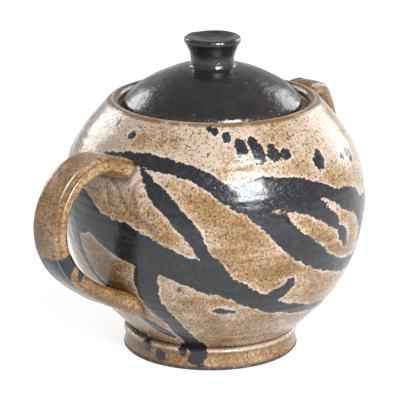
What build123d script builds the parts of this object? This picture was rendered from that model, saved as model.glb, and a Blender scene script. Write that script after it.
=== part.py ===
"""A lidded sugar bowl in wheel-thrown stoneware, in millimetres, +Z up.

A round bowl stands on a thrown foot ring and carries two pulled strap handles. The lid is a low dome
with a flared knob. It drops into a gallery inside the mouth, where its flange keeps it from sliding.
The origin is on the table, under the bowl's axis. The left handle points along -X.
"""

import os
from math import cos, radians, sin

from build123d import *

# Bowl
foot_height = 9.0
base_radius = 33.0
belly_radius = 60.0
belly_height = 60.5
shoulder_radius = 42.2
shoulder_height = 100.6
lip_height = 101.7
lip_crest_radius = 39.7
mouth_radius = 37.5
mouth_edge_height = 100.3
floor_height = 14.4

# Gallery, the ledge inside the mouth that the lid sits on
ledge_height = 98.0
ledge_radius = 31.4
ledge_thickness = 3.4

# Foot ring, thrown a little off the bowl's axis
foot_radius = 34.85
foot_inner_radius = 28.8
foot_shift = (-0.9, 0.9)
bead_radius = 34.7
bead_height = 7.4

# Lid, resting a little to one side in its gallery
seat_gap = 0.1
seat_height = ledge_height + seat_gap
lid_radius = 34.7
lid_edge_height = 101.3
lid_top_height = 115.6
lid_thickness = 4.0
lid_shift = (-0.35, 0.35)
flange_outer_radius = 29.6
flange_thickness = 3.0
flange_bottom_height = 91.0

# Knob
knob_neck_radius = 8.5
knob_root_radius = 9.7
knob_root_height = 114.2
knob_buried_height = 112.0
knob_rim_radius = 11.1
knob_rim_height = 124.6
knob_top_height = 126.3
knob_dish_radius = 8.6
knob_dish_depth = 1.6

# Handles, pulled and set on by hand: the right one stands out of line with the left one. Its strap
# is narrower, reaches a little less far out and arches a little higher.
left_handle_angle = 180.0
right_handle_angle = 11.0
right_handle_reach = 0.97
right_handle_rise = 1.055
right_handle_width = 0.78
handle_low_height = 30.0

# Points are (radius, height), from the foot ring's join up to the shoulder.
bowl_outside = [
    (base_radius, foot_height),
    (43.8, 20.0),
    (51.4, 30.0),
    (56.6, 42.0),
    (belly_radius, belly_height),
    (57.4, 78.0),
    (50.9, 90.0),
    (shoulder_radius, shoulder_height),
]

# The same from the wall under the gallery down to the middle of the floor.
bowl_inside = [
    (45.6, 90.0),
    (53.2, 77.0),
    (55.6, belly_height),
    (52.3, 43.0),
    (47.4, 32.4),
    (39.8, 23.2),
    (27.0, 16.4),
    (0.0, floor_height),
]

# The lid's dome, from its edge up to the middle, outside and then inside the flange.
lid_outside = [
    (lid_radius - 0.5, lid_edge_height),
    (27.0, 108.0),
    (14.0, 113.7),
    (0.0, lid_top_height),
]
lid_inside = [
    (flange_outer_radius - flange_thickness, seat_height),
    (22.0, 103.6),
    (12.0, 109.4),
    (0.0, lid_top_height - lid_thickness),
]

# The middle of a handle's strap, from its top root in the shoulder to its low root.
handle_line = [
    (46.0, 78.2),
    (60.0, 86.3),
    (70.0, 87.3),
    (80.0, 82.9),
    (87.0, 73.5),
    (88.4, 64.0),
    (85.6, 54.5),
    (78.0, 45.2),
    (66.0, 36.9),
    (54.0, 30.8),
    (38.0, 24.6),
]

# Strap sections: share of the way along that line, width, depth. The strap is thickest at its roots.
handle_sections = [
    (0.0, 20.0, 9.5),
    (0.13, 18.5, 7.6),
    (0.28, 17.0, 6.5),
    (0.48, 16.5, 6.2),
    (0.68, 16.5, 6.7),
    (0.86, 17.5, 7.8),
    (1.0, 20.0, 9.5),
]


def turning_plane(shift):
    """The plane of a thrown piece's profile, through an axis that stands at shift (x, y)."""
    return Plane(origin=(*shift, 0), x_dir=(1, 0, 0), z_dir=(0, -1, 0))


with BuildPart() as bowl_envelope:
    with BuildSketch(Plane.XZ):
        with BuildLine():
            outside = Spline(*bowl_outside)
            lip = ThreePointArc(outside @ 1, (lip_crest_radius, lip_height), (mouth_radius, mouth_edge_height))
            Polyline(lip @ 1, (0, mouth_edge_height), (0, foot_height), outside @ 0)
        make_face()
    revolve(axis=Axis.Z)

with BuildPart() as bowl_body:
    add(bowl_envelope.part)
    with BuildSketch(Plane.XZ):
        with BuildLine():
            inside = Spline(*bowl_inside, tangents=[(0.6, -0.8), (-1, 0)], tangent_scalars=[1, 1])
            ledge_edge = Polyline(
                inside @ 0,
                (ledge_radius + 1.0, ledge_height - ledge_thickness),
                (ledge_radius, ledge_height - ledge_thickness + 1.0),
                (ledge_radius, ledge_height - 0.8),
                (ledge_radius + 0.8, ledge_height),
                (mouth_radius - 0.7, ledge_height),
                (mouth_radius, ledge_height + 0.7),
                (mouth_radius, lip_height + 1.0),
                (0, lip_height + 1.0),
                inside @ 1,
            )
        make_face()
    revolve(axis=Axis.Z, mode=Mode.SUBTRACT)

with BuildPart() as foot_ring:
    with BuildSketch(turning_plane(foot_shift)):
        with BuildLine():
            side = Spline(
                (foot_radius, 0.6),
                (foot_radius - 0.5, 3.6),
                (bead_radius - 0.5, bead_height - 0.9),
            )
            bead = ThreePointArc(
                side @ 1,
                (bead_radius, bead_height),
                (base_radius + 0.3, foot_height),
            )
            Polyline(
                bead @ 1,
                (foot_inner_radius - 0.6, foot_height),
                (foot_inner_radius, 1.0),
                (foot_inner_radius + 1.0, 0),
                (foot_radius - 0.6, 0),
                side @ 0,
            )
        make_face()
    revolve(axis=Axis((*foot_shift, 0), (0, 0, 1)))


def pulled_handle(angle, reach=1.0, rise=1.0, width_share=1.0):
    """A strap handle at angle degrees round the bowl, its line stretched out by reach, up by rise."""
    outward = (cos(radians(angle)), sin(radians(angle)), 0)
    sideways = (sin(radians(angle)), -cos(radians(angle)), 0)
    with BuildPart() as strap:
        with BuildLine(Plane(origin=(0, 0, 0), x_dir=outward, z_dir=sideways)) as middle:
            Spline(
                *[
                    (
                        belly_radius + (radius - belly_radius) * reach,
                        handle_low_height + (height - handle_low_height) * rise,
                    )
                    for radius, height in handle_line
                ]
            )
        line = middle.line
        for share, width, depth in handle_sections:
            with BuildSketch(Plane(origin=line @ share, x_dir=sideways, z_dir=line % share)):
                Ellipse(width * width_share / 2, depth / 2)
        loft()
        add(bowl_envelope.part, mode=Mode.SUBTRACT)
    return strap


left_handle = pulled_handle(left_handle_angle)
right_handle = pulled_handle(
    right_handle_angle,
    right_handle_reach,
    right_handle_rise,
    right_handle_width,
)

with BuildPart() as lid_dome:
    with BuildSketch(turning_plane(lid_shift)):
        with BuildLine():
            top = Spline(*lid_outside, tangents=[(-0.6, 0.8), (-1, 0)])
            under = Spline(*lid_inside, tangents=[(-0.5, 0.8), (-1, 0)])
            Line(top @ 1, under @ 1)
            Polyline(
                under @ 0,
                (lid_radius - 0.8, seat_height),
                (lid_radius, seat_height + 0.8),
                (lid_radius, lid_edge_height - 1.0),
                top @ 0,
            )
        make_face()
    revolve(axis=Axis((*lid_shift, 0), (0, 0, 1)))

with BuildPart() as lid_flange:
    with BuildSketch(turning_plane(lid_shift)):
        with BuildLine():
            Polyline(
                (flange_outer_radius, seat_height),
                (flange_outer_radius, flange_bottom_height + 2.0),
                (flange_outer_radius - 1.2, flange_bottom_height),
                (flange_outer_radius - flange_thickness + 0.8, flange_bottom_height),
                (flange_outer_radius - flange_thickness, flange_bottom_height + 1.0),
                (flange_outer_radius - flange_thickness, seat_height),
                close=True,
            )
        make_face()
    revolve(axis=Axis((*lid_shift, 0), (0, 0, 1)))

with BuildPart() as lid_knob:
    with BuildSketch(turning_plane(lid_shift)):
        with BuildLine():
            neck = Spline(
                (knob_root_radius, knob_root_height),
                (knob_neck_radius, 116.4),
                (knob_neck_radius + 0.3, 119.0),
                (knob_rim_radius - 0.35, knob_rim_height - 1.4),
            )
            rim = ThreePointArc(
                neck @ 1,
                (knob_rim_radius, knob_rim_height + 0.2),
                (knob_rim_radius - 1.3, knob_top_height),
            )
            dish = Spline(
                (knob_dish_radius, knob_top_height - 0.1),
                (knob_dish_radius / 2, knob_top_height - knob_dish_depth * 0.8),
                (0, knob_top_height - knob_dish_depth),
                tangents=[(-1, -0.4), (-1, 0)],
            )
            Line(rim @ 1, dish @ 0)
            Polyline(dish @ 1, (0, knob_buried_height), (knob_root_radius, knob_buried_height), neck @ 0)
        make_face()
    revolve(axis=Axis((*lid_shift, 0), (0, 0, 1)))
    add(lid_dome.part, mode=Mode.SUBTRACT)

os.makedirs("parts", exist_ok=True)
pieces = {
    "bowl_body": bowl_body,
    "foot_ring": foot_ring,
    "left_handle": left_handle,
    "right_handle": right_handle,
    "lid_dome": lid_dome,
    "lid_flange": lid_flange,
    "lid_knob": lid_knob,
}
for name, piece in pieces.items():
    piece.part.label = name
    export_step(piece.part, f"parts/{name}.step")
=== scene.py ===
"""The looks of a lidded stoneware sugar bowl: glazes, hand-made shapes, studio light and camera.

Shapes are worked out in millimetres and turned into metres when a mesh is made. An angle round the
bowl is in degrees from its front, -Y, and grows towards the right handle, +X.
"""

import bpy
import numpy as np
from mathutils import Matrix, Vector


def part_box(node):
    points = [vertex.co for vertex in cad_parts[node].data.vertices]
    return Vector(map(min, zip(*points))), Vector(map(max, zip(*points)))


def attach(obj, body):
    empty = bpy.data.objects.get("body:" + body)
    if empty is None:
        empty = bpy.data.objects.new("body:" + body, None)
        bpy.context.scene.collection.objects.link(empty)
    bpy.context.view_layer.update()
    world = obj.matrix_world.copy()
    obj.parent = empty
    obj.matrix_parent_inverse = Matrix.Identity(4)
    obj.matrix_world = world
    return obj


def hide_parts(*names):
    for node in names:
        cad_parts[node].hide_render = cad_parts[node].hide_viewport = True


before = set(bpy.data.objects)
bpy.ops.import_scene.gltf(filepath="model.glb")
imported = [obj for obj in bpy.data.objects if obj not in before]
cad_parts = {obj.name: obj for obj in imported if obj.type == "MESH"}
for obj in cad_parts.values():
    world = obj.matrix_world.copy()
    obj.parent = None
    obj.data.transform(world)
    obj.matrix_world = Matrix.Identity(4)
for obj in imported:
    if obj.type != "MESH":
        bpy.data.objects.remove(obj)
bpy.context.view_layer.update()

MM = 0.001
TURNS = 384

# Depth given where there is no slip at all, and the distance that counts as far away
NO_SLIP = -30.0
FAR_AWAY = 30.0

# Where the camera stands, round the bowl and above the table
VIEW_ANGLE = -46.0
VIEW_DISTANCE = 972.9
VIEW_HEIGHT = 351.0
VIEW_AIM_HEIGHT = 59.4
VIEW_SIDE_STEP = -5.5
VIEW_LENS = 230.0


# ---------------------------------------------------------------- sizes from the frame


def box_mm(node):
    low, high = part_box(node)
    return np.array(low) / MM, np.array(high) / MM


bowl_low, bowl_high = box_mm("bowl_body")
foot_low, foot_high = box_mm("foot_ring")
dome_low, dome_high = box_mm("lid_dome")
flange_low, flange_high = box_mm("lid_flange")
knob_low, knob_high = box_mm("lid_knob")

BELLY = (bowl_high[0] - bowl_low[0]) / 2
BASE_Z = bowl_low[2]
LIP_Z = bowl_high[2]
FOOT_CENTRE = (foot_low + foot_high)[:2] / 2
FOOT_RADIUS = (foot_high[0] - foot_low[0]) / 2
LID_CENTRE = (dome_low + dome_high)[:2] / 2
LID_RADIUS = (dome_high[0] - dome_low[0]) / 2 + 0.45
SEAT_Z = dome_low[2]
DOME_TOP_Z = dome_high[2]
FLANGE_RADIUS = (flange_high[0] - flange_low[0]) / 2
FLANGE_Z = flange_low[2]
KNOB_RADIUS = (knob_high[0] - knob_low[0]) / 2
KNOB_TOP_Z = knob_high[2]


# ---------------------------------------------------------------- curves and surfaces


def smooth_line(points, spacing):
    """Points about `spacing` apart on a Catmull-Rom curve through all the columns of `points`."""
    p = np.array(points, float)
    p = np.vstack([2 * p[0] - p[1], p, 2 * p[-1] - p[-2]])
    rows = []
    for a, b, c, d in zip(p, p[1:], p[2:], p[3:]):
        count = max(2, int(np.ceil(np.linalg.norm((c - b)[:2]) / spacing)))
        t = np.arange(count)[:, None] / count
        slope, curve, twist = c - a, 2 * a - 5 * b + 4 * c - d, 3 * b - a - 3 * c + d
        rows.append(0.5 * (2 * b + slope * t + curve * t**2 + twist * t**3))
    return np.vstack([*rows, p[-2:-1]])


def straight_line(points, spacing):
    """Points about `spacing` apart on the straight runs between `points`."""
    rows = []
    for a, b in zip(np.array(points, float), np.array(points[1:], float)):
        count = max(1, int(np.ceil(np.linalg.norm(b - a) / spacing)))
        rows.append(a + (b - a) * np.arange(count)[:, None] / count)
    return np.vstack([*rows, points[-1]])


def wave_field(points, size, seed, waves=28):
    """A smooth random height, about -1 to 1, with bumps about `size` mm across."""
    random = np.random.default_rng(seed)
    total = np.zeros(len(points))
    for _ in range(waves):
        way = random.normal(size=3)
        way *= 2 * np.pi / (size * random.uniform(1.4, 2.6)) / np.linalg.norm(way)
        total += np.sin(points @ way + random.uniform(0, 2 * np.pi))
    return total / np.sqrt(waves)


def step_up(value, start, end):
    """0 below start to 1 above end, eased between them."""
    t = np.clip((value - start) / (end - start), 0, 1)
    return t * t * (3 - 2 * t)


def bell(value, middle, width):
    """1 at the middle, falling to 0 on both sides over a few widths."""
    return np.exp(-(((value - middle) / width) ** 2))


def mesh_piece(name, points, faces, attributes=None):
    """A smooth-shaded mesh object from millimetre points, with named numbers on its points."""
    mesh = bpy.data.meshes.new(name)
    mesh.from_pydata((points * MM).tolist(), [], faces)
    mesh.update()
    mesh.polygons.foreach_set("use_smooth", [True] * len(mesh.polygons))
    for key, values in (attributes or {}).items():
        layer = mesh.attributes.new(key, "FLOAT", "POINT")
        layer.data.foreach_set("value", np.asarray(values, np.float32))
    piece = bpy.data.objects.new(name, mesh)
    bpy.context.scene.collection.objects.link(piece)
    return piece


def grid_faces(rows, columns):
    """Quads over rows of points, each row a closed loop of `columns` points."""
    faces = []
    for row in range(rows - 1):
        for column in range(columns):
            after = (column + 1) % columns
            low, high = row * columns, (row + 1) * columns
            faces.append((low + column, low + after, high + after, high + column))
    return faces


class Turned:
    """A profile of (radius, height) points turned round an upright axis."""

    def __init__(self, profile, centre=(0.0, 0.0), turns=TURNS):
        profile = np.array(profile, float)
        self.on_axis = [profile[0, 0] < 1e-6, profile[-1, 0] < 1e-6]
        self.ends = profile[[0, -1]]
        inner = profile[1 if self.on_axis[0] else 0 : -1 if self.on_axis[1] else None]
        self.rows, self.turns, self.centre = len(inner), turns, np.array(centre)
        angle = 2 * np.pi * np.arange(turns) / turns
        along = np.gradient(inner, axis=0)
        along /= np.linalg.norm(along, axis=1)[:, None]
        self.row = np.repeat(np.arange(self.rows), turns)
        self.angle = np.tile(angle, self.rows)
        self.radius = np.repeat(inner[:, 0], turns)
        self.height = np.repeat(inner[:, 1], turns)
        self.out = np.repeat(along[:, 1], turns)
        self.up = np.repeat(-along[:, 0], turns)
        self.push = np.zeros(len(self.row))

    def points(self):
        radius = self.radius + self.push * self.out
        x = self.centre[0] + radius * np.sin(self.angle)
        y = self.centre[1] - radius * np.cos(self.angle)
        return np.column_stack([x, y, self.height + self.push * self.up])

    def piece(self, name, attributes=None, closed=False):
        points, faces = self.points(), grid_faces(self.rows, self.turns)
        extra = []
        for end, first_row in ((0, 0), (1, (self.rows - 1) * self.turns)):
            if not self.on_axis[end]:
                continue
            pole = len(points) + len(extra)
            extra.append((*self.centre, self.ends[end, 1]))
            for column in range(self.turns):
                pair = first_row + column, first_row + (column + 1) % self.turns
                faces.append((pole, pair[1], pair[0]) if end == 0 else (pole, *pair))
        if closed:
            last = (self.rows - 1) * self.turns
            for column in range(self.turns):
                after = (column + 1) % self.turns
                faces.append((last + column, last + after, after, column))
        values = {}
        for key, numbers in (attributes or {}).items():
            values[key] = np.append(numbers, [numbers[0], numbers[-1]][: len(extra)])
        return mesh_piece(name, np.vstack([points, *extra]) if extra else points, faces, values)


# ---------------------------------------------------------------- the bowl's shape

# Outside of the bowl from its join with the foot up to the shoulder: radius as a share of the
# belly's, height as a share of the way from the join to the lip.
BOWL_OUTSIDE = [
    (0.550, 0.000),
    (0.730, 0.119),
    (0.857, 0.227),
    (0.943, 0.356),
    (1.000, 0.556),
    (0.956, 0.744),
    (0.848, 0.874),
    (0.703, 0.988),
]
MOUTH_RADIUS = 37.5
LEDGE_Z = SEAT_Z - 0.1
LEDGE_RADIUS = 31.4
FLOOR_Z = 14.4


def bowl_height(share):
    return BASE_Z + (LIP_Z - BASE_Z) * share


def bowl_profile():
    """The whole section, from the middle of the underside, up outside, over the lip and down inside."""
    outside = smooth_line([(r * BELLY, bowl_height(h)) for r, h in BOWL_OUTSIDE], 1.0)
    under = straight_line([(0, BASE_Z), (28.0, BASE_Z), (32.2, BASE_Z)], 4.0)
    lip = smooth_line([(42.2, 100.6), (41.2, 101.35), (39.8, LIP_Z), (38.4, 101.3), (37.6, 100.2)], 0.6)
    gallery = straight_line(
        [
            (MOUTH_RADIUS, 99.6),
            (MOUTH_RADIUS, LEDGE_Z + 0.6),
            (MOUTH_RADIUS - 0.7, LEDGE_Z),
            (LEDGE_RADIUS + 0.9, LEDGE_Z),
            (LEDGE_RADIUS, LEDGE_Z - 0.9),
            (LEDGE_RADIUS, 95.4),
            (LEDGE_RADIUS + 1.0, 94.6),
            (40.0, 92.6),
        ],
        1.2,
    )
    inside = smooth_line(
        [
            (45.6, 90.0),
            (53.2, 77.0),
            (55.6, 60.5),
            (52.3, 43.0),
            (47.4, 32.4),
            (39.8, 23.2),
            (27.0, 16.4),
            (0, FLOOR_Z),
        ],
        2.4,
    )
    return under, outside, lip, gallery, inside


UNDER, OUTSIDE, LIP, GALLERY, INSIDE = bowl_profile()


def bowl_radius(height):
    """Radius of the bowl's outside at a height."""
    return np.interp(height, OUTSIDE[:, 1], OUTSIDE[:, 0])


def on_bowl(angle, height):
    """Points on the bowl's outside, or on the foot ring below it."""
    angle = np.radians(angle)
    radius = np.where(height < BASE_Z, FOOT_RADIUS, bowl_radius(height))
    return np.column_stack([radius * np.sin(angle), -radius * np.cos(angle), height])


# ---------------------------------------------------------------- the poured dark slip

# Each stroke is a run of (angle, height, width) points. The first ones face the viewer.
STROKES = [
    # from the left handle's top root across the shoulder
    [
        (-98, 87.6, 1.2), (-88, 88.6, 3.2), (-79, 88.6, 4.6), (-70, 87.8, 5.4), (-61, 87.0, 5.2),
        (-53, 84.9, 5.2), (-46, 81.4, 6.0), (-38, 77.0, 8.0), (-30, 75.0, 11.0),
    ],
    # the wide mass at the right: its upper, middle and lower arms
    [
        (-36, 76.6, 9.0), (-28, 79.6, 8.0), (-20.4, 78.8, 8.6), (-11.8, 77.2, 8.4), (-2.5, 74.8, 7.4),
        (5.2, 71.6, 6.6), (13, 69.4, 8.6), (21.6, 65.0, 8.6), (29, 56.4, 7.6), (34, 46.0, 7.6),
        (42, 40.0, 5.0), (52, 38.0, 1.6),
    ],
    [(20, 64.6, 5.0), (31, 62.0, 8.5), (42, 61.0, 7.5), (54, 61.0, 4.0), (63, 62.5, 1.6)],
    [
        (-20, 75.0, 10.0), (-12.6, 73.4, 10.8), (-6.0, 70.0, 8.5), (-1.3, 66.5, 5.4),
        (3.1, 62.8, 5.4), (6.4, 59.4, 2.0), (10.1, 55.9, 4.9), (13.0, 51.1, 2.4),
    ],
    [
        (-34, 77.4, 9.0), (-29.9, 74.3, 10.8), (-25.6, 69.0, 9.4), (-20.6, 63.0, 9.4),
        (-14.6, 57.3, 9.4), (-7.1, 51.9, 8.7), (1.4, 46.6, 6.6), (12.1, 42.6, 5.0), (25.7, 40.4, 5.6),
        (34, 46.0, 5.0),
    ],
    # down from the handle's top root to the main band
    [
        (-76, 85.2, 1.6), (-72.6, 82.2, 3.4), (-69, 78.4, 5.0), (-65, 74.6, 5.8), (-60.5, 70.2, 5.8),
        (-56, 65.2, 6.4), (-52, 60.0, 5.0), (-49.5, 54.6, 4.4), (-46.5, 49.6, 7.0), (-44, 44.6, 9.0),
    ],
    # the main band, from behind the handle down to the right
    [
        (-118, 71.0, 5.0), (-107, 67.4, 12.4), (-98, 62.8, 11.2), (-88, 58.8, 13.2),
        (-80, 56.6, 15.0), (-71, 53.6, 13.8), (-60, 49.4, 11.4), (-50, 45.6, 12.2), (-41, 41.6, 8.6),
        (-34, 37.4, 7.6), (-26, 33.2, 7.2), (-17, 29.8, 5.6), (-4.2, 26.8, 4.4), (11.6, 24.2, 4.2),
        (24, 22.4, 3.4), (36, 26.0, 2.0),
    ],
    [(-26.2, 34.0, 4.4), (-21, 36.0, 5.2), (-17, 38.8, 5.0), (-15.6, 40.8, 4.0)],
    # from the band down past the handle's low root to the foot
    [
        (-71, 51.0, 9.5), (-72.6, 46.4, 10.0), (-73.6, 40.4, 9.8), (-73.4, 34.6, 8.2),
        (-71.6, 29.6, 7.0), (-67.6, 24.0, 6.6), (-63.6, 18.0, 6.4), (-59, 11.8, 6.6),
        (-55.5, 7.6, 6.0), (-56.5, 5.2, 5.6), (-60, 4.4, 3.6),
    ],
    [(-84, 22.8, 1.6), (-79, 19.6, 4.2), (-74.5, 16.6, 4.6), (-70, 14.4, 2.4)],
    [(-60.5, 10.6, 2.4), (-66, 8.9, 3.8)],
    # the thin stripe behind the handle
    [
        (-114, 66.0, 9.0), (-112, 58.0, 8.0), (-110, 50.0, 6.0), (-106, 42.6, 3.4), (-100, 36.4, 2.6),
        (-93, 32.0, 4.0),
    ],
    [(-110, 58.4, 5.0), (-104, 57.4, 3.4), (-98, 60.0, 2.6)],
    # on the side away from the viewer
    [
        (-113, 72.5, 5.0), (-127, 78.0, 4.6), (-143, 81.0, 5.4), (-158, 79.6, 6.6), (-172, 73.6, 7.4),
        (-186, 66.4, 6.2), (-199, 60.0, 4.0), (-208, 56.0, 1.6),
    ],
    [
        (64, 52.0, 2.0), (74, 55.0, 6.4), (88, 61.4, 8.6), (104, 68.4, 8.2), (120, 75.6, 6.2),
        (134, 81.6, 4.0), (146, 85.6, 1.6),
    ],
    [
        (44, 30.0, 1.8), (58, 31.0, 4.6), (76, 32.4, 6.6), (96, 35.4, 8.6), (114, 40.6, 8.8),
        (131, 46.6, 7.6), (148, 51.4, 5.6), (163, 54.0, 2.4),
    ],
    [
        (136, 44.0, 5.0), (148, 36.6, 6.4), (157, 28.4, 6.6), (165, 20.4, 5.6), (171, 13.0, 4.6),
        (173, 6.0, 3.4),
    ],
    [
        (-172, 51.0, 2.0), (-160, 46.6, 5.4), (-147, 40.0, 7.6), (-134, 33.0, 6.8), (-122, 26.6, 4.4),
        (-112, 21.4, 2.0),
    ],
]

# Tips of bare glaze that reach into the mass at the right.
GAPS = [
    [(-24.5, 71.2, 0.6), (-20, 70.2, 2.2), (-15, 68.2, 3.6), (-10, 65.6, 4.4), (-5, 62.6, 4.4)],
    [(-3.0, 73.6, 0.8), (0.0, 71.8, 2.0), (4.0, 68.8, 3.0), (9.0, 65.0, 3.4)],
]

# Drops of slip: angle, height, width, length.
DROPS = [
    (-48.6, 100.3, 1.6, 2.2),
    (-46.3, 99.4, 2.4, 3.0),
    (-40.0, 97.5, 3.2, 4.6),
    (-35.2, 95.6, 3.0, 3.6),
    (-33.8, 93.6, 4.0, 6.4),
    (-28.0, 95.0, 3.6, 5.6),
    (-26.6, 92.4, 5.0, 8.0),
    (-20.0, 92.2, 3.0, 5.4),
    (-19.9, 91.0, 4.6, 5.2),
    (-13.8, 90.3, 4.2, 4.6),
    (2.8, 87.3, 3.0, 5.0),
    (1.2, 85.2, 4.4, 5.2),
    (17.7, 84.3, 3.0, 3.4),
    (24.8, 83.6, 3.8, 5.6),
    (-88.4, 95.5, 3.2, 3.2),
    (-102.0, 98.0, 1.6, 1.8),
    (-97.0, 11.6, 2.4, 2.6),
    (-95.0, 6.8, 4.0, 4.2),
    (-83.0, 3.9, 4.0, 4.8),
    (-66.0, 6.4, 2.4, 2.4),
    (-54.5, 0.9, 3.4, 2.6),
    (63.0, 88.0, 2.8, 4.2),
    (76.0, 91.6, 3.8, 6.0),
    (118.0, 93.4, 2.4, 3.0),
    (127.0, 90.8, 4.0, 6.6),
    (158.0, 90.6, 3.2, 4.6),
    (-170.0, 93.6, 2.2, 2.8),
    (-152.0, 94.8, 3.0, 4.4),
    (-140.0, 64.0, 2.6, 3.4),
    (150.0, 66.0, 3.0, 4.0),
    (186.0, 34.0, 3.0, 3.2),
    (96.0, 5.0, 2.6, 3.0),
]

# A narrow lens of slip under the main band: angle, height, width.
LENS = [(-47.5, 30.9, 0.4), (-44.5, 30.6, 1.9), (-41.0, 30.2, 2.0), (-37.6, 29.6, 0.4)]


def slip_beads():
    """Every stroke and drop as a string of beads: centres and radii."""
    runs = [smooth_line(stroke, 1.4) for stroke in [*STROKES, LENS]]
    for angle, height, width, length in DROPS:
        half = max(0.0, (length - width) / 2)
        top, low = (angle, height + half, width * 0.8), (angle, height - half, width)
        runs.append(np.array([top, (angle, height, width), low]))
    return as_beads(runs)


def as_beads(runs):
    beads = np.vstack(runs)
    return on_bowl(beads[:, 0], beads[:, 1]), beads[:, 2] / 2


def slip_depth(points):
    """How far inside the slip each point is, in mm, negative outside it."""
    return np.minimum(depth_in(points, *SLIP_BEADS), -depth_in(points, *GAP_BEADS))


def depth_in(points, centres, radii):
    """How far inside a string of beads each point is, in mm, negative outside them."""
    depth = np.full(len(points), NO_SLIP)
    for start in range(0, len(points), 4000):
        part = points[start : start + 4000]
        away = np.linalg.norm(part[:, None, :] - centres[None], axis=2)
        depth[start : start + 4000] = (radii[None] - away).max(axis=1)
    return depth


SLIP_BEADS = slip_beads()
GAP_BEADS = as_beads([smooth_line(gap, 1.0) for gap in GAPS])


# ---------------------------------------------------------------- pieces of the bowl


def make_bowl():
    """The thrown wall: round, but not quite, with throwing rings, thicker slip and a thumbed join."""
    profile = np.vstack([UNDER, OUTSIDE, LIP[1:], GALLERY, INSIDE])
    bowl = Turned(profile)
    bottom = len(UNDER) - 1
    lip_end = bottom + len(OUTSIDE) + len(LIP)
    outer = (bowl.row >= bottom) & (bowl.row < lip_end)
    points = bowl.points()
    wobble = 0.16 * np.sin(2 * bowl.angle + 0.8) + 0.10 * np.sin(3 * bowl.angle + 2.1)
    fade = step_up(bowl.height, BASE_Z, BASE_Z + 16) * (1 - step_up(bowl.height, 88, LIP_Z))
    rings = np.sin(2 * np.pi * (bowl.height / 3.4 + bowl.angle / (2 * np.pi)))
    ring_depth = 0.035 + 0.05 * np.clip(wave_field(points, 26, 5), 0, 1.5)
    bumps = 0.05 * wave_field(points, 7, 11) + 0.10 * wave_field(points, 24, 12)
    depth = slip_depth(points)
    raised = 0.14 * step_up(depth, -0.5, 0.9)
    outside_push = fade * (wobble + ring_depth * rings) + bumps * (0.3 + 0.7 * fade) + raised
    bowl.push = np.where(outer, outside_push, 0.35 * bumps)
    crease = crease_near(points)
    smear = thumb_smear(points) - 0.45 * crease
    bowl.push += np.where(outer, smear, 0)
    slip = np.where(outer, depth, NO_SLIP)
    near_ledge = (bowl.height > LEDGE_Z - 2) & (bowl.height < LEDGE_Z + 0.8)
    bare = np.where((bowl.row >= lip_end + 1) & near_ledge, 1.0, 0.0)
    bare = np.where(bowl.row < bottom, 1.0, bare)
    inside = np.where(outer | (bowl.row < bottom), 0.0, 1.0)
    # Mask for dark umber on the lip's inner half and the gallery: on the lip it is the glaze breaking
    # brown over the edge, on the gallery walls it is painted shade in the gap under the lid.
    first_inner = bottom + len(OUTSIDE) + len(LIP) // 2
    lip = np.where((bowl.row >= first_inner) & (bowl.height > 90), 1.0, 0.0)
    values = {"slip": slip, "bare": bare, "inside": inside, "lip": lip}
    values["seam"] = np.maximum(seam_near_handles(points), 0.9 * crease)
    return bowl.piece("bowl_glazed", values)


def thumb_smear(points):
    """Clay wiped down from the left handle's top root onto the wall, as a low three-sided web."""
    root = on_bowl(np.array([-79.0, -73.5]), np.array([80.0, 67.5]))
    line = root[1] - root[0]
    share = np.clip((points - root[0]) @ line / (line @ line), 0, 1)
    away = np.linalg.norm(points - (root[0] + share[:, None] * line), axis=1)
    return 1.9 * (1 - share) * np.exp(-((away / (1.2 + 3.0 * (1 - share))) ** 2))


# Creases where the left handle's wiped clay ends: runs of (angle, height).
CREASES = [
    [(-90, 81.0), (-85, 76.7), (-83, 73.5), (-79, 69.7), (-75, 67.2), (-71, 65.4), (-68, 62.0)],
    [(-74, 83.6), (-76.5, 80.6), (-78, 77.0), (-76, 73.4)],
    [(-92, 78.0), (-90, 73.6), (-88, 70.6)],
]


def crease_near(points):
    """1 in the creases beside the left handle's top root, falling to 0 off them."""
    runs = np.vstack([smooth_line(crease, 0.5) for crease in CREASES])
    line = on_bowl(runs[:, 0], runs[:, 1])
    nearest = np.full(len(points), FAR_AWAY)
    close = np.nonzero(np.linalg.norm(points - line.mean(axis=0), axis=1) < 30)[0]
    for part in np.array_split(close, max(1, len(close) // 4000)):
        nearest[part] = np.linalg.norm(points[part][:, None, :] - line[None], axis=2).min(axis=1)
    return np.exp(-((nearest / 0.75) ** 2))


def seam_near_handles(points):
    """1 on the wall close to a handle's root, falling to 0 a few millimetres off."""
    nearest = np.full(len(points), FAR_AWAY)
    for handle in HANDLES:
        ring = handle.root_rings()
        for start in range(0, len(points), 8000):
            part = points[start : start + 8000]
            away = np.linalg.norm(part[:, None, :] - ring[None], axis=2).min(axis=1)
            nearest[start : start + 8000] = np.minimum(nearest[start : start + 8000], away)
    return np.exp(-((nearest / 1.1) ** 2))


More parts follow.
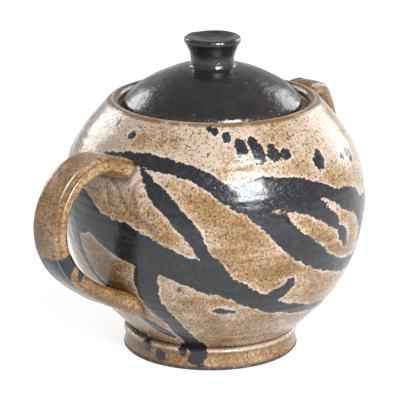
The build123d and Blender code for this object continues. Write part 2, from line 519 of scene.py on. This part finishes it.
def make_foot():
    """The foot ring, with a bead under the groove where it meets the bowl."""
    side = smooth_line(
        [
            (FOOT_RADIUS, 0.7),
            (FOOT_RADIUS - 0.35, 2.6),
            (FOOT_RADIUS - 0.6, 4.6),
            (FOOT_RADIUS - 0.7, 6.4),
        ],
        0.5,
    )
    bead = smooth_line([(34.3, 6.9), (34.75, 7.6), (34.3, 8.5), (33.3, 9.0), (32.7, 9.25)], 0.35)
    inner = straight_line(
        [(30.0, 9.2), (28.4, BASE_Z + 0.1), (28.7, 1.0), (29.6, 0.1), (FOOT_RADIUS - 0.7, 0.0)], 1.2
    )
    foot = Turned(np.vstack([side, bead, inner]), FOOT_CENTRE)
    points = foot.points()
    wobble = 0.18 * np.sin(2 * foot.angle + 1.7) + 0.10 * np.sin(5 * foot.angle)
    worn = step_up(foot.height, 0.2, 2.0)
    foot.push = worn * (0.4 * wobble + 0.07 * wave_field(points, 6, 21))
    depth = slip_depth(points)
    inside = foot.row >= len(side) + len(bead)
    foot.push += np.where(inside, 0, 0.1 * step_up(depth, -0.4, 0.8))
    bare = np.maximum(np.where(inside, 1.0, 0.0), 1 - step_up(foot.height, 1.3, 2.1))
    groove = bell(foot.height, 9.1, 0.5) + 0.5 * bell(foot.height, 6.5, 0.6)
    values = {"slip": np.where(inside, NO_SLIP, depth), "bare": bare, "seam": groove}
    return foot.piece("foot_glazed", values, closed=True)


# ---------------------------------------------------------------- handles

# The middle of a strap, from its top root to its low root: shares of the handle's reach from the
# bowl's axis, and of its height.
HANDLE_LINE = [
    (0.503, 0.822),
    (0.656, 0.938),
    (0.766, 0.952),
    (0.875, 0.889),
    (0.951, 0.754),
    (0.967, 0.618),
    (0.936, 0.481),
    (0.853, 0.348),
    (0.722, 0.228),
    (0.591, 0.141),
    (0.416, 0.052),
]

# How deep in the wall a strap ends
ROOT_DEPTH = 2.2

# Share of the way along, width, thickness.
STRAP = [
    (0.00, 21.0, 10.5),
    (0.09, 19.0, 8.6),
    (0.16, 17.4, 7.0),
    (0.28, 16.4, 6.1),
    (0.48, 16.0, 6.0),
    (0.68, 16.0, 6.4),
    (0.82, 16.8, 7.2),
    (0.90, 18.4, 8.6),
    (1.00, 21.0, 11.0),
]


class Handle:
    """A pulled strap, with a soft ridge outside near one edge and a slighter one near the other.

    Width is a share of STRAP's widths, and a smaller roundness gives a squarer section. The reach
    is drawn in, and the arch bowed up, by so many millimetres.
    """

    def __init__(self, node, angle, width, roundness, tone, drawn_in, arch, seed):
        low, high = box_mm(node)
        way = np.array([np.sin(np.radians(angle)), -np.cos(np.radians(angle))])
        side = np.array([-way[1], way[0]])
        half_width = STRAP[4][1] * width / 2
        furthest = max(abs(low[0]), abs(high[0]))
        reach = (furthest - half_width * abs(way[1])) / abs(way[0]) - drawn_in
        self.width, self.roundness, self.tone, self.seed = width, roundness, tone, seed
        line = np.array(HANDLE_LINE)
        bow = bell(line[:, 0], 0.87, 0.10) - 0.7 * bell(line[:, 0], 0.67, 0.09)
        raised = arch * bow * (line[:, 1] > 0.6)
        line = line * (reach, high[2] - low[2])
        line[:, 1] += low[2] + raised
        self.line = smooth_line(line, 0.75)
        gaps = np.linalg.norm(np.diff(self.line, axis=0), axis=1)
        self.share = np.append(0, np.cumsum(gaps)) / gaps.sum()
        self.way, self.side = np.append(way, 0), np.append(side, 0)

    def sections(self, around):
        """For each ring point: sideways and outward offset from the strap's middle."""
        widths = np.interp(self.share, *np.array(STRAP)[:, :2].T) * self.width
        depths = np.interp(self.share, [row[0] for row in STRAP], [row[2] for row in STRAP])
        c, s = np.cos(around), np.sin(around)
        across = np.sign(c) * np.abs(c) ** self.roundness
        deep = np.sign(s) * np.abs(s) ** (self.roundness + 0.05)
        ridge = 0.15 * bell(across, 0.72, 0.10) * (deep > 0)
        ridge -= 0.09 * bell(across, 0.46, 0.14) * (deep > 0)
        ridge += 0.05 * bell(across, -0.75, 0.14) * (deep > 0)
        return widths[:, None] / 2 * across, depths[:, None] / 2 * (deep * 0.93 + ridge)

    def rings(self, columns=96):
        around = 2 * np.pi * np.arange(columns) / columns
        sideways, outward = self.sections(around)
        along = np.gradient(self.line, axis=0)
        along /= np.linalg.norm(along, axis=1)[:, None]
        normal = np.column_stack([-along[:, 1], along[:, 0]])
        tilt = 0.05 * np.sin(np.pi * self.share * 1.4)[:, None]
        outward = outward + tilt * sideways
        radius = self.line[:, :1] + normal[:, :1] * outward
        height = self.line[:, 1:] + normal[:, 1:] * outward
        points = radius[..., None] * self.way + sideways[..., None] * self.side
        points[..., 2] += height
        return points, around

    @staticmethod
    def reach_of(points):
        """How far points stand from the bowl's axis."""
        return np.linalg.norm(points[:, :2], axis=1)

    def root_rings(self):
        """Points of the strap's surface that lie close to the bowl's wall."""
        points = self.rings()[0].reshape(-1, 3)
        near = np.abs(self.reach_of(points) - bowl_radius(points[:, 2])) < 0.7
        return points[near]

    def make(self, name, splashes):
        rings, around = self.rings()
        rows, columns = rings.shape[:2]
        points = rings.reshape(-1, 3)
        middle = np.repeat(rings.mean(axis=1), columns, axis=0)
        out = points - middle
        out /= np.linalg.norm(out, axis=1)[:, None]
        bumps = 0.16 * wave_field(points, 16, self.seed) + 0.06 * wave_field(points, 6, self.seed + 1)
        points = points + out * bumps[:, None]
        least_reach = bowl_radius(points[:, 2]) - ROOT_DEPTH
        points[:, :2] *= np.maximum(1, least_reach / self.reach_of(points))[:, None]
        gap = self.reach_of(points) - bowl_radius(points[:, 2])
        share = np.repeat(self.share, columns)
        turn = np.degrees(np.tile(around, rows))
        depth = self.splash_depth(share, turn, splashes)
        points = points + out * (0.12 * step_up(depth, -0.5, 0.9))[:, None]
        edge = np.abs(np.cos(np.radians(turn)))
        ridge = bell(edge, 0.86, 0.10)
        seam = np.exp(-((np.maximum(gap, 0) / 0.9) ** 2))
        faces = grid_faces(rows, columns)
        faces += [tuple(range(columns))[::-1], tuple(range((rows - 1) * columns, rows * columns))]
        tone = np.full(len(gap), self.tone)
        values = {"slip": depth, "ridge": ridge, "seam": seam, "gap": gap, "tone": tone}
        return mesh_piece(name, points, faces, values)

    def splash_depth(self, share, turn, splashes):
        """Depth inside splashes, each a run of (share along, turn round the section, width)."""
        depth = np.full(len(share), NO_SLIP)
        length = np.linalg.norm(np.diff(self.line, axis=0), axis=1).sum()
        for run in splashes:
            for s, a, w in smooth_line([(s * 100, a, w) for s, a, w in run], 4.0):
                along = (share - s / 100) * length
                round_ = (turn - a + 180) % 360 - 180
                depth = np.maximum(depth, w / 2 - np.hypot(along, round_ * 0.10))
        return depth


HANDLES = [
    Handle("left_handle", -90.0, width=1.0, roundness=0.5, tone=0.76, drawn_in=0.0, arch=0.0, seed=31),
    Handle("right_handle", 101.0, width=0.78, roundness=0.6, tone=0.98, drawn_in=1.2, arch=2.6, seed=41),
]

# Slip that ran over the left handle's lower bend, and drops on both straps.
LEFT_SPLASHES = [
    [
        (0.545, -26, 5.0),
        (0.545, 8, 6.0),
        (0.550, 40, 6.4),
        (0.560, 70, 7.6),
        (0.585, 100, 9.0),
        (0.61, 130, 9.0),
    ],
    [
        (0.60, 96, 5.0),
        (0.65, 104, 4.4),
        (0.70, 112, 5.0),
        (0.76, 116, 5.4),
        (0.82, 104, 4.2),
        (0.86, 84, 4.6),
    ],
    [(0.46, -26, 3.4), (0.475, -20, 2.4), (0.485, -12, 1.2)],
    [(0.60, -20, 1.4), (0.612, -2, 2.2), (0.618, 10, 1.2)],
]
RIGHT_SPLASHES = [
    [(0.70, 20, 3.4), (0.72, 80, 5.4), (0.74, 140, 4.0)],
    [(0.33, 70, 2.0), (0.34, 74, 1.6)],
    [(0.46, 120, 1.8), (0.47, 120, 1.4)],
]


# ---------------------------------------------------------------- lid


def make_dome():
    """The lid: a low dome, fuller at its sides, with a worn edge."""
    edge_height = 3.2
    rise = DOME_TOP_Z - SEAT_Z - edge_height
    edge_z = SEAT_Z + edge_height
    under = smooth_line(
        [(0, DOME_TOP_Z - 4.0), (12.0, 109.4), (22.0, 103.6), (FLANGE_RADIUS - 3.0, SEAT_Z + 0.1)], 1.6
    )
    seat = straight_line([(FLANGE_RADIUS - 2.0, SEAT_Z), (LID_RADIUS - 0.9, SEAT_Z)], 1.4)
    edge = smooth_line(
        [
            (LID_RADIUS - 0.5, SEAT_Z + 0.3),
            (LID_RADIUS - 0.05, SEAT_Z + 1.0),
            (LID_RADIUS, edge_z - 1.3),
            (LID_RADIUS - 0.5, edge_z - 0.1),
        ],
        0.5,
    )
    top = smooth_line(
        [
            (LID_RADIUS - 1.1, edge_z + 0.7),
            (27.0, edge_z + rise * 0.47),
            (14.0, edge_z + rise * 0.868),
            (0, DOME_TOP_Z),
        ],
        0.8,
    )
    dome = Turned(np.vstack([under, seat, edge, top]), LID_CENTRE, 320)
    points = dome.points()
    outer = dome.row > len(under) + len(seat)
    fade = step_up(dome.radius, 6, 14)
    rings = 0.025 * np.sin(2 * np.pi * dome.radius / 3.1)
    bumps = 0.10 * wave_field(points, 15, 51) + 0.035 * wave_field(points, 4.5, 52)
    dome.push = np.where(outer, fade * (bumps + rings), 0)
    rim = bell(dome.radius - LID_RADIUS, -0.4, 0.7) * (dome.height > SEAT_Z + 1.5)
    return dome.piece("lid_glazed", {"rim": rim, "bare": np.where(outer, 0.0, 1.0)})


def make_flange():
    """The ring under the lid, in bare clay, a little uneven from the wheel."""
    outer, inner = FLANGE_RADIUS, FLANGE_RADIUS - 3.0
    profile = straight_line([(outer, SEAT_Z), (outer, FLANGE_Z + 1.8)], 0.8)
    tip = smooth_line(
        [
            (outer - 0.2, FLANGE_Z + 1.0),
            (outer - 0.9, FLANGE_Z + 0.2),
            (outer - 1.7, FLANGE_Z),
            (inner + 0.5, FLANGE_Z + 0.3),
        ],
        0.3,
    )
    back = straight_line([(inner, FLANGE_Z + 1.0), (inner, SEAT_Z)], 0.8)
    ring = Turned(np.vstack([profile, tip, back])[::-1], LID_CENTRE, 320)
    ring.push = 0.05 * wave_field(ring.points(), 5, 61) * step_up(SEAT_Z - ring.height, 0.2, 1.5)
    return ring.piece("lid_ring", closed=True)


def make_knob():
    """The flared knob, thumbed slightly out of round, with a dished top."""
    r, top = KNOB_RADIUS, KNOB_TOP_Z
    neck = smooth_line(
        [
            (9.9, 113.9),
            (9.1, 114.9),
            (8.65, 116.3),
            (8.7, 118.2),
            (9.2, 120.4),
            (r - 0.9, top - 3.4),
            (r - 0.2, top - 2.4),
        ],
        0.35,
    )
    rim = smooth_line(
        [(r, top - 1.5), (r - 0.15, top - 0.7), (r - 0.8, top - 0.12), (r - 1.6, top - 0.03)], 0.25
    )
    dish = smooth_line(
        [(r - 2.4, top - 0.2), (r - 4.2, top - 0.75), (r - 7.0, top - 1.35), (0, top - 1.6)], 0.5
    )
    base = straight_line([(0, 113.4), (9.4, 113.4)], 1.6)
    knob = Turned(np.vstack([base, neck, rim, dish]), LID_CENTRE, 192)
    points = knob.points()
    facets = 0.10 * np.sin(5 * knob.angle + 0.6) + 0.07 * np.sin(3 * knob.angle + 2.2)
    fade = step_up(knob.height, 115.0, 118.0) * (0.3 + 0.7 * step_up(knob.radius, 2, 8))
    knob.push = fade * (facets * (knob.height < top - 0.6) + 0.06 * wave_field(points, 4, 71))
    rim_wear = np.exp(-((np.hypot(knob.radius - r + 0.9, knob.height - top + 0.2) / 0.6) ** 2))
    bare = np.where(knob.row < len(base), 1.0, 0.0)
    return knob.piece("knob_glazed", {"rim": rim_wear, "bare": bare})


# ---------------------------------------------------------------- materials


class Glaze:
    """A node material with short calls for the nodes that the glazes are made of."""

    def __init__(self, name):
        self.material = bpy.data.materials.new(name)
        self.material.use_nodes = True
        self.tree = self.material.node_tree
        self.shader = self.tree.nodes["Principled BSDF"]
        self.place = self.add("ShaderNodeTexCoord").outputs["Object"]

    def add(self, kind, **settings):
        node = self.tree.nodes.new(kind)
        for key, value in settings.items():
            setattr(node, key, value)
        return node

    def put(self, socket, value):
        if isinstance(value, bpy.types.NodeSocket):
            self.tree.links.new(value, socket)
        else:
            socket.default_value = value

    def math(self, operation, a, b=0.0, clamp=False):
        node = self.add("ShaderNodeMath", operation=operation, use_clamp=clamp)
        self.put(node.inputs[0], a)
        self.put(node.inputs[1], b)
        return node.outputs[0]

    def ramp(self, value, low, high, start=0.0, end=1.0):
        """value from low..high eased to start..end."""
        node = self.add("ShaderNodeMapRange", interpolation_type="SMOOTHSTEP")
        for socket, number in zip(node.inputs, (value, low, high, start, end)):
            self.put(socket, number)
        return node.outputs[0]

    def mix(self, share, a, b):
        node = self.add("ShaderNodeMix", data_type="RGBA")
        self.put(node.inputs["Factor"], share)
        self.put(node.inputs["A"], a)
        self.put(node.inputs["B"], b)
        return node.outputs["Result"]

    def number(self, name):
        return self.add("ShaderNodeAttribute", attribute_name=name).outputs["Fac"]

    def noise(self, size, detail=3.0, roughness=0.55, distortion=0.0):
        """Noise with features about `size` mm across."""
        node = self.add("ShaderNodeTexNoise")
        self.put(node.inputs["Vector"], self.place)
        self.put(node.inputs["Scale"], 1 / (size * MM))
        self.put(node.inputs["Detail"], detail)
        self.put(node.inputs["Roughness"], roughness)
        self.put(node.inputs["Distortion"], distortion)
        return node.outputs["Fac"]

    def streaks(self, size):
        """Long level streaks about `size` mm high."""
        node = self.add("ShaderNodeMapping")
        self.put(node.inputs["Vector"], self.place)
        node.inputs["Scale"].default_value = (0.09, 0.09, 1.0)
        noise = self.add("ShaderNodeTexNoise")
        self.put(noise.inputs["Vector"], node.outputs["Vector"])
        self.put(noise.inputs["Scale"], 1 / (size * MM))
        self.put(noise.inputs["Detail"], 3.0)
        return noise.outputs["Fac"]

    def dots(self, size, radius, share):
        """Round specks in cells `size` mm wide, up to `radius` of a cell, in `share` of the cells."""
        node = self.add("ShaderNodeTexVoronoi", feature="F1")
        self.put(node.inputs["Vector"], self.place)
        self.put(node.inputs["Scale"], 1 / (size * MM))
        parts = self.add("ShaderNodeSeparateColor")
        self.put(parts.inputs[0], node.outputs["Color"])
        kept = self.math("LESS_THAN", parts.outputs[0], share)
        reach = self.math("MULTIPLY_ADD", parts.outputs[1], radius * 0.7)
        self.put(reach.node.inputs[2], radius * 0.3)
        inside = self.math("SUBTRACT", reach, node.outputs["Distance"])
        return self.math("MULTIPLY", self.ramp(inside, -0.04, 0.10), kept)

    def height(self):
        parts = self.add("ShaderNodeSeparateXYZ")
        self.put(parts.inputs[0], self.place)
        return self.math("DIVIDE", parts.outputs["Z"], MM)

    def bump(self, heights, depth, below=None):
        """Relief of `depth` mm over a 0..1 height."""
        node = self.add("ShaderNodeBump")
        self.put(node.inputs["Strength"], 1.0)
        self.put(node.inputs["Distance"], depth * MM)
        self.put(node.inputs["Height"], heights)
        if below is not None:
            self.put(node.inputs["Normal"], below)
        return node.outputs["Normal"]

    def ragged_slip(self):
        """0 on bare glaze to 1 on slip, with a torn edge, and the ragged depth in mm."""
        torn = self.math("MULTIPLY", self.math("SUBTRACT", self.noise(1.3, 2.0, 0.6), 0.5), 2.2)
        drift = self.math("MULTIPLY", self.math("SUBTRACT", self.noise(6.5, 2.0), 0.5), 3.4)
        depth = self.math("ADD", self.number("slip"), self.math("ADD", torn, drift))
        depth = self.math("ADD", depth, 0.35)
        return self.ramp(depth, -0.12, 0.16), depth


# Light cream: the glaze's break beside the slip, and painted highlight on the foot's bead.
CREAM_BREAK_AND_HIGHLIGHT = (0.40, 0.335, 0.275, 1)
CREAM = (0.325, 0.252, 0.198, 1)
PINK_CREAM = (0.262, 0.178, 0.105, 1)
TAN = (0.188, 0.105, 0.040, 1)
CARAMEL = (0.100, 0.047, 0.013, 1)
UMBER = (0.055, 0.025, 0.012, 1)
SPECK = (0.040, 0.020, 0.011, 1)
SLIP = (0.0080, 0.0088, 0.0105, 1)
SLIP_THIN = (0.019, 0.0187, 0.0192, 1)
BARE_CLAY = (0.16, 0.095, 0.055, 1)
FOOT_EDGE = (0.022, 0.012, 0.008, 1)
LID_DARK = (0.0095, 0.0085, 0.0082, 1)
LID_DARK_PATCH = (0.0165, 0.0128, 0.011, 1)
LID_WORN = (0.12, 0.075, 0.05, 1)
LID_FLECK = (0.10, 0.085, 0.075, 1)

# Heights over the table where the lip's worn band starts and where it ends
LIP_BAND_START = (100.3, 100.9)
LIP_BAND_END = (101.66, 101.5)


def speckled_colour(g, warmth, speck_amount):
    """The light glaze: cream to caramel by `warmth` (0..1), with iron specks in three sizes."""
    cloud = g.noise(15.0, 4.0, 0.6)
    grain = g.noise(1.0, 3.0, 0.7)
    warm = g.math("ADD", warmth, g.math("MULTIPLY", g.math("SUBTRACT", cloud, 0.5), 2.1))
    warm = g.math("ADD", warm, g.math("MULTIPLY", g.math("SUBTRACT", grain, 0.5), 2.3))
    colour = g.mix(g.ramp(warm, 0.0, 0.42), CREAM, PINK_CREAM)
    colour = g.mix(g.ramp(warm, 0.30, 0.72), colour, TAN)
    colour = g.mix(g.ramp(warm, 0.68, 1.15), colour, CARAMEL)
    fine = g.dots(0.88, 0.50, 0.85 * speck_amount)
    middle = g.dots(1.7, 0.36, 0.50 * speck_amount)
    large = g.dots(7.0, 0.19, 0.16 * speck_amount)
    colour = g.mix(g.math("MULTIPLY", fine, 0.78), colour, UMBER)
    colour = g.mix(g.math("MULTIPLY", middle, 0.85), colour, SPECK)
    colour = g.mix(g.math("MULTIPLY", large, 0.9), colour, UMBER)
    return colour, g.math("ADD", fine, middle, clamp=True)


def gloss(g, colour, roughness, normal):
    g.put(g.shader.inputs["Base Color"], colour)
    g.put(g.shader.inputs["Roughness"], roughness)
    g.put(g.shader.inputs["Normal"], normal)
    g.shader.inputs["IOR"].default_value = 1.5
    return g.material


def glaze_relief(g, specks, slip):
    """Orange peel, a slow wave and small pits in a glaze."""
    peel = g.bump(g.noise(1.5, 2.0), 0.05)
    wave = g.bump(g.noise(4.5, 1.0), 0.16, peel)
    pits = g.bump(specks, -0.03, wave)
    return g.bump(slip, 0.06, pits)


def bowl_glaze():
    g = Glaze("speckled_glaze")
    z = g.height()
    slip, depth = g.ragged_slip()
    halo = g.math("MULTIPLY", g.ramp(depth, -2.6, -0.4), g.math("SUBTRACT", 1.0, slip))
    warmth = g.ramp(z, 90.0, 64.0, 0.22, 0.60)
    warmth = g.math("SUBTRACT", warmth, g.ramp(z, 30.0, 12.0, 0.0, 0.06))
    warmth = g.math("SUBTRACT", warmth, g.math("MULTIPLY", halo, 0.16))
    streak = g.math("MULTIPLY", g.math("SUBTRACT", g.streaks(2.6), 0.5), g.ramp(z, 86.0, 68.0, 0.3, 1.1))
    warmth = g.math("ADD", warmth, streak)
    warmth = g.math("ADD", warmth, g.math("MULTIPLY", g.number("inside"), 0.1))
    colour, specks = speckled_colour(g, warmth, 1.0)
    line = g.math("MULTIPLY", g.ramp(depth, -1.25, -0.5), g.ramp(g.noise(4.0), 0.35, 0.6))
    colour = g.mix(g.math("MULTIPLY", line, 0.6), colour, CREAM_BREAK_AND_HIGHLIGHT)
    band = g.math("MULTIPLY", g.ramp(z, *LIP_BAND_START), g.ramp(z, *LIP_BAND_END))
    band = g.math("MULTIPLY", band, g.ramp(g.noise(5.0), 0.25, 0.5))
    colour = g.mix(g.math("MULTIPLY", band, 0.85), colour, CARAMEL)
    # Umber over the lip's inner half and the gallery: the glaze's brown break on the lip, and painted
    # shade in the gap under the lid.
    colour = g.mix(g.math("MULTIPLY", g.number("lip"), 0.85), colour, UMBER)
    colour = g.mix(g.math("MULTIPLY", g.ramp(z, 10.6, 9.2), 0.8), colour, UMBER)
    colour = g.mix(g.math("MULTIPLY", g.number("seam"), 0.75), colour, UMBER)
    dark = g.mix(g.ramp(g.noise(2.2, 4.0, 0.65), 0.45, 0.7), SLIP, SLIP_THIN)
    colour = g.mix(slip, colour, dark)
    colour = g.mix(g.number("bare"), colour, g.mix(g.noise(1.2), BARE_CLAY, TAN))
    rough = g.ramp(g.noise(3.0), 0.3, 0.7, 0.13, 0.24)
    rough = g.math("ADD", rough, g.math("MULTIPLY", g.number("bare"), 0.55))
    return gloss(g, colour, rough, glaze_relief(g, specks, slip))


def foot_glaze():
    g = Glaze("foot_glaze")
    slip, _ = g.ragged_slip()
    warmth = g.ramp(g.height(), 8.4, 6.4, 0.46, 0.80)
    colour, specks = speckled_colour(g, warmth, 0.9)
    # Painted highlight: a light cream laid in patches over the top of the foot's bead.
    worn = g.math("MULTIPLY", g.ramp(g.height(), 7.2, 8.0), g.ramp(g.noise(3.0), 0.3, 0.6))
    colour = g.mix(g.math("MULTIPLY", worn, 0.65), colour, CREAM_BREAK_AND_HIGHLIGHT)
    colour = g.mix(g.math("MULTIPLY", g.number("seam"), 0.8, clamp=True), colour, UMBER)
    colour = g.mix(slip, colour, SLIP)
    edge_clay = g.mix(g.ramp(g.noise(1.6), 0.45, 0.8), FOOT_EDGE, BARE_CLAY)
    colour = g.mix(g.number("bare"), colour, edge_clay)
    rough = g.ramp(g.noise(2.0), 0.3, 0.7, 0.15, 0.26)
    rough = g.math("ADD", rough, g.math("MULTIPLY", g.number("bare"), 0.5))
    return gloss(g, colour, rough, glaze_relief(g, specks, slip))


def handle_glaze():
    g = Glaze("handle_glaze")
    slip, _ = g.ragged_slip()
    warmth = g.math("ADD", g.number("tone"), g.math("MULTIPLY", g.number("ridge"), 0.36))
    warmth = g.math("SUBTRACT", warmth, g.ramp(g.number("gap"), 9.0, 1.5, 0.0, 0.18))
    colour, specks = speckled_colour(g, warmth, 1.0)
    edge = g.math("MULTIPLY", g.ramp(g.number("ridge"), 0.45, 0.95), g.ramp(g.noise(5.0), 0.3, 0.6))
    colour = g.mix(g.math("MULTIPLY", edge, 0.55), colour, CARAMEL)
    seam = g.math("MULTIPLY", g.number("seam"), g.ramp(g.noise(4.0), 0.25, 0.6))
    colour = g.mix(g.math("MULTIPLY", seam, 0.85), colour, UMBER)
    colour = g.mix(slip, colour, SLIP)
    rough = g.ramp(g.noise(2.5), 0.3, 0.7, 0.14, 0.26)
    return gloss(g, colour, rough, glaze_relief(g, specks, slip))


def dark_glaze():
    g = Glaze("dark_glaze")
    patch = g.ramp(g.noise(6.0, 4.0, 0.6), 0.42, 0.68)
    colour = g.mix(patch, LID_DARK, LID_DARK_PATCH)
    worn = g.math("MULTIPLY", g.number("rim"), g.ramp(g.noise(1.6, 2.0), 0.35, 0.65))
    colour = g.mix(g.math("MULTIPLY", worn, 0.22), colour, LID_WORN)
    flecks = g.dots(2.4, 0.20, 0.22)
    colour = g.mix(g.math("MULTIPLY", flecks, 0.7), colour, LID_FLECK)
    colour = g.mix(g.number("bare"), colour, g.mix(g.noise(1.2), BARE_CLAY, TAN))
    peel = g.bump(g.noise(1.1, 3.0, 0.6), 0.075)
    wave = g.bump(g.noise(3.2, 2.0), 0.22, peel)
    pits = g.bump(g.dots(2.8, 0.28, 0.30), -0.10, wave)
    rough = g.ramp(g.noise(2.0), 0.3, 0.7, 0.13, 0.26)
    rough = g.math("ADD", rough, g.math("MULTIPLY", g.number("bare"), 0.5))
    return gloss(g, colour, rough, pits)


def bare_clay():
    g = Glaze("bare_clay")
    colour = g.mix(g.noise(3.5, 4.0), BARE_CLAY, TAN)
    colour = g.mix(g.math("MULTIPLY", g.dots(1.6, 0.3, 0.3), 0.6), colour, UMBER)
    rough = g.ramp(g.noise(2.0), 0.3, 0.7, 0.62, 0.80)
    return gloss(g, colour, rough, g.bump(g.noise(0.8, 4.0, 0.7), 0.12))


# ---------------------------------------------------------------- assembly

bowl = make_bowl()
foot = make_foot()
left_handle = HANDLES[0].make("left_handle_strap", LEFT_SPLASHES)
right_handle = HANDLES[1].make("right_handle_strap", RIGHT_SPLASHES)
dome = make_dome()
flange = make_flange()
knob = make_knob()

handle_material, dark_material = handle_glaze(), dark_glaze()
for piece, body, node, slot, material in (
    (bowl, "bowl", "bowl_body", "speckled_glaze", bowl_glaze()),
    (foot, "bowl", "foot_ring", "foot_glaze", foot_glaze()),
    (left_handle, "bowl", "left_handle", "handle_glaze", handle_material),
    (right_handle, "bowl", "right_handle", "handle_glaze", handle_material),
    (dome, "lid", "lid_dome", "dark_glaze", dark_material),
    (flange, "lid", "lid_flange", "bare_clay", bare_clay()),
    (knob, "lid", "lid_knob", "dark_glaze", dark_material),
):
    piece.data.materials.append(material)
    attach(piece, body)
    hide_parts(node)


# ---------------------------------------------------------------- studio


def direction(angle, elevation):
    """The unit vector from the bowl towards an angle round it and a height above the horizon."""
    a, e = np.radians(angle), np.radians(elevation)
    return Vector((np.sin(a) * np.cos(e), -np.cos(a) * np.cos(e), np.sin(e)))


def softbox(name, angle, elevation, distance, width, height, power, colour=(1, 1, 1)):
    """A soft rectangular light at an angle from the camera's, aimed at the bowl's middle."""
    light = bpy.data.lights.new(name, "AREA")
    light.shape, light.size, light.size_y = "RECTANGLE", width, height
    light.energy, light.color = power, colour
    lamp = bpy.data.objects.new(name, light)
    way = direction(VIEW_ANGLE + angle, elevation)
    lamp.location = Vector((0, 0, VIEW_AIM_HEIGHT * MM)) + way * distance
    lamp.rotation_mode = "QUATERNION"
    lamp.rotation_quaternion = way.to_track_quat("Z", "Y")
    bpy.context.scene.collection.objects.link(lamp)


def make_floor():
    mesh = bpy.data.meshes.new("floor")
    half = 3.0
    corners = [(-half, -half, 0), (half, -half, 0), (half, half, 0), (-half, half, 0)]
    mesh.from_pydata(corners, [], [(0, 1, 2, 3)])
    floor = bpy.data.objects.new("floor", mesh)
    floor.location.z = -0.0002
    material = bpy.data.materials.new("floor_white")
    material.use_nodes = True
    shader = material.node_tree.nodes["Principled BSDF"]
    shader.inputs["Base Color"].default_value = (0.36, 0.36, 0.36, 1)
    shader.inputs["Roughness"].default_value = 0.7
    shader.inputs["Specular IOR Level"].default_value = 0.1
    shader.inputs["Emission Color"].default_value = (1, 1, 1, 1)
    shader.inputs["Emission Strength"].default_value = 0.72
    mesh.materials.append(material)
    bpy.context.scene.collection.objects.link(floor)


def make_world():
    """A white studio: bright round the horizon and dimmer overhead."""
    world = bpy.data.worlds.new("studio")
    bpy.context.scene.world = world
    world.use_nodes = True
    tree = world.node_tree
    place = tree.nodes.new("ShaderNodeTexCoord")
    parts = tree.nodes.new("ShaderNodeSeparateXYZ")
    fade = tree.nodes.new("ShaderNodeValToRGB")
    fade.color_ramp.elements[0].position = 0.15
    fade.color_ramp.elements[0].color = (1.0, 1.0, 1.0, 1)
    fade.color_ramp.elements[1].position = 0.8
    fade.color_ramp.elements[1].color = (0.60, 0.60, 0.61, 1)
    tree.links.new(place.outputs["Generated"], parts.inputs[0])
    tree.links.new(parts.outputs["Z"], fade.inputs["Fac"])
    tree.links.new(fade.outputs["Color"], tree.nodes["Background"].inputs["Color"])
    tree.nodes["Background"].inputs["Strength"].default_value = 0.64


def make_camera():
    data = bpy.data.cameras.new("camera")
    data.lens, data.sensor_width = VIEW_LENS, 36.0
    data.clip_start, data.clip_end = 0.05, 20.0
    camera = bpy.data.objects.new("camera", data)
    back = direction(VIEW_ANGLE, 0)
    right = direction(VIEW_ANGLE + 90, 0)
    place = (back * VIEW_DISTANCE + right * VIEW_SIDE_STEP) * MM
    place.z = VIEW_HEIGHT * MM
    camera.location = place
    looking = Vector((0, 0, VIEW_AIM_HEIGHT * MM)) + right * VIEW_SIDE_STEP * MM - place
    camera.rotation_mode = "QUATERNION"
    camera.rotation_quaternion = looking.to_track_quat("-Z", "Y")
    bpy.context.scene.collection.objects.link(camera)
    bpy.context.scene.camera = camera


make_floor()
make_world()
make_camera()
key_colour = (0.93, 0.96, 1.0)
softbox("key_light", 27, 29, distance=1.2, width=0.46, height=0.68, power=33, colour=key_colour)
softbox("left_rim_light", -134, 22, distance=1.3, width=0.6, height=0.6, power=7)
softbox("right_rim_light", 136, 20, distance=1.3, width=0.6, height=0.8, power=7)
bpy.context.scene.view_settings.view_transform = "Standard"
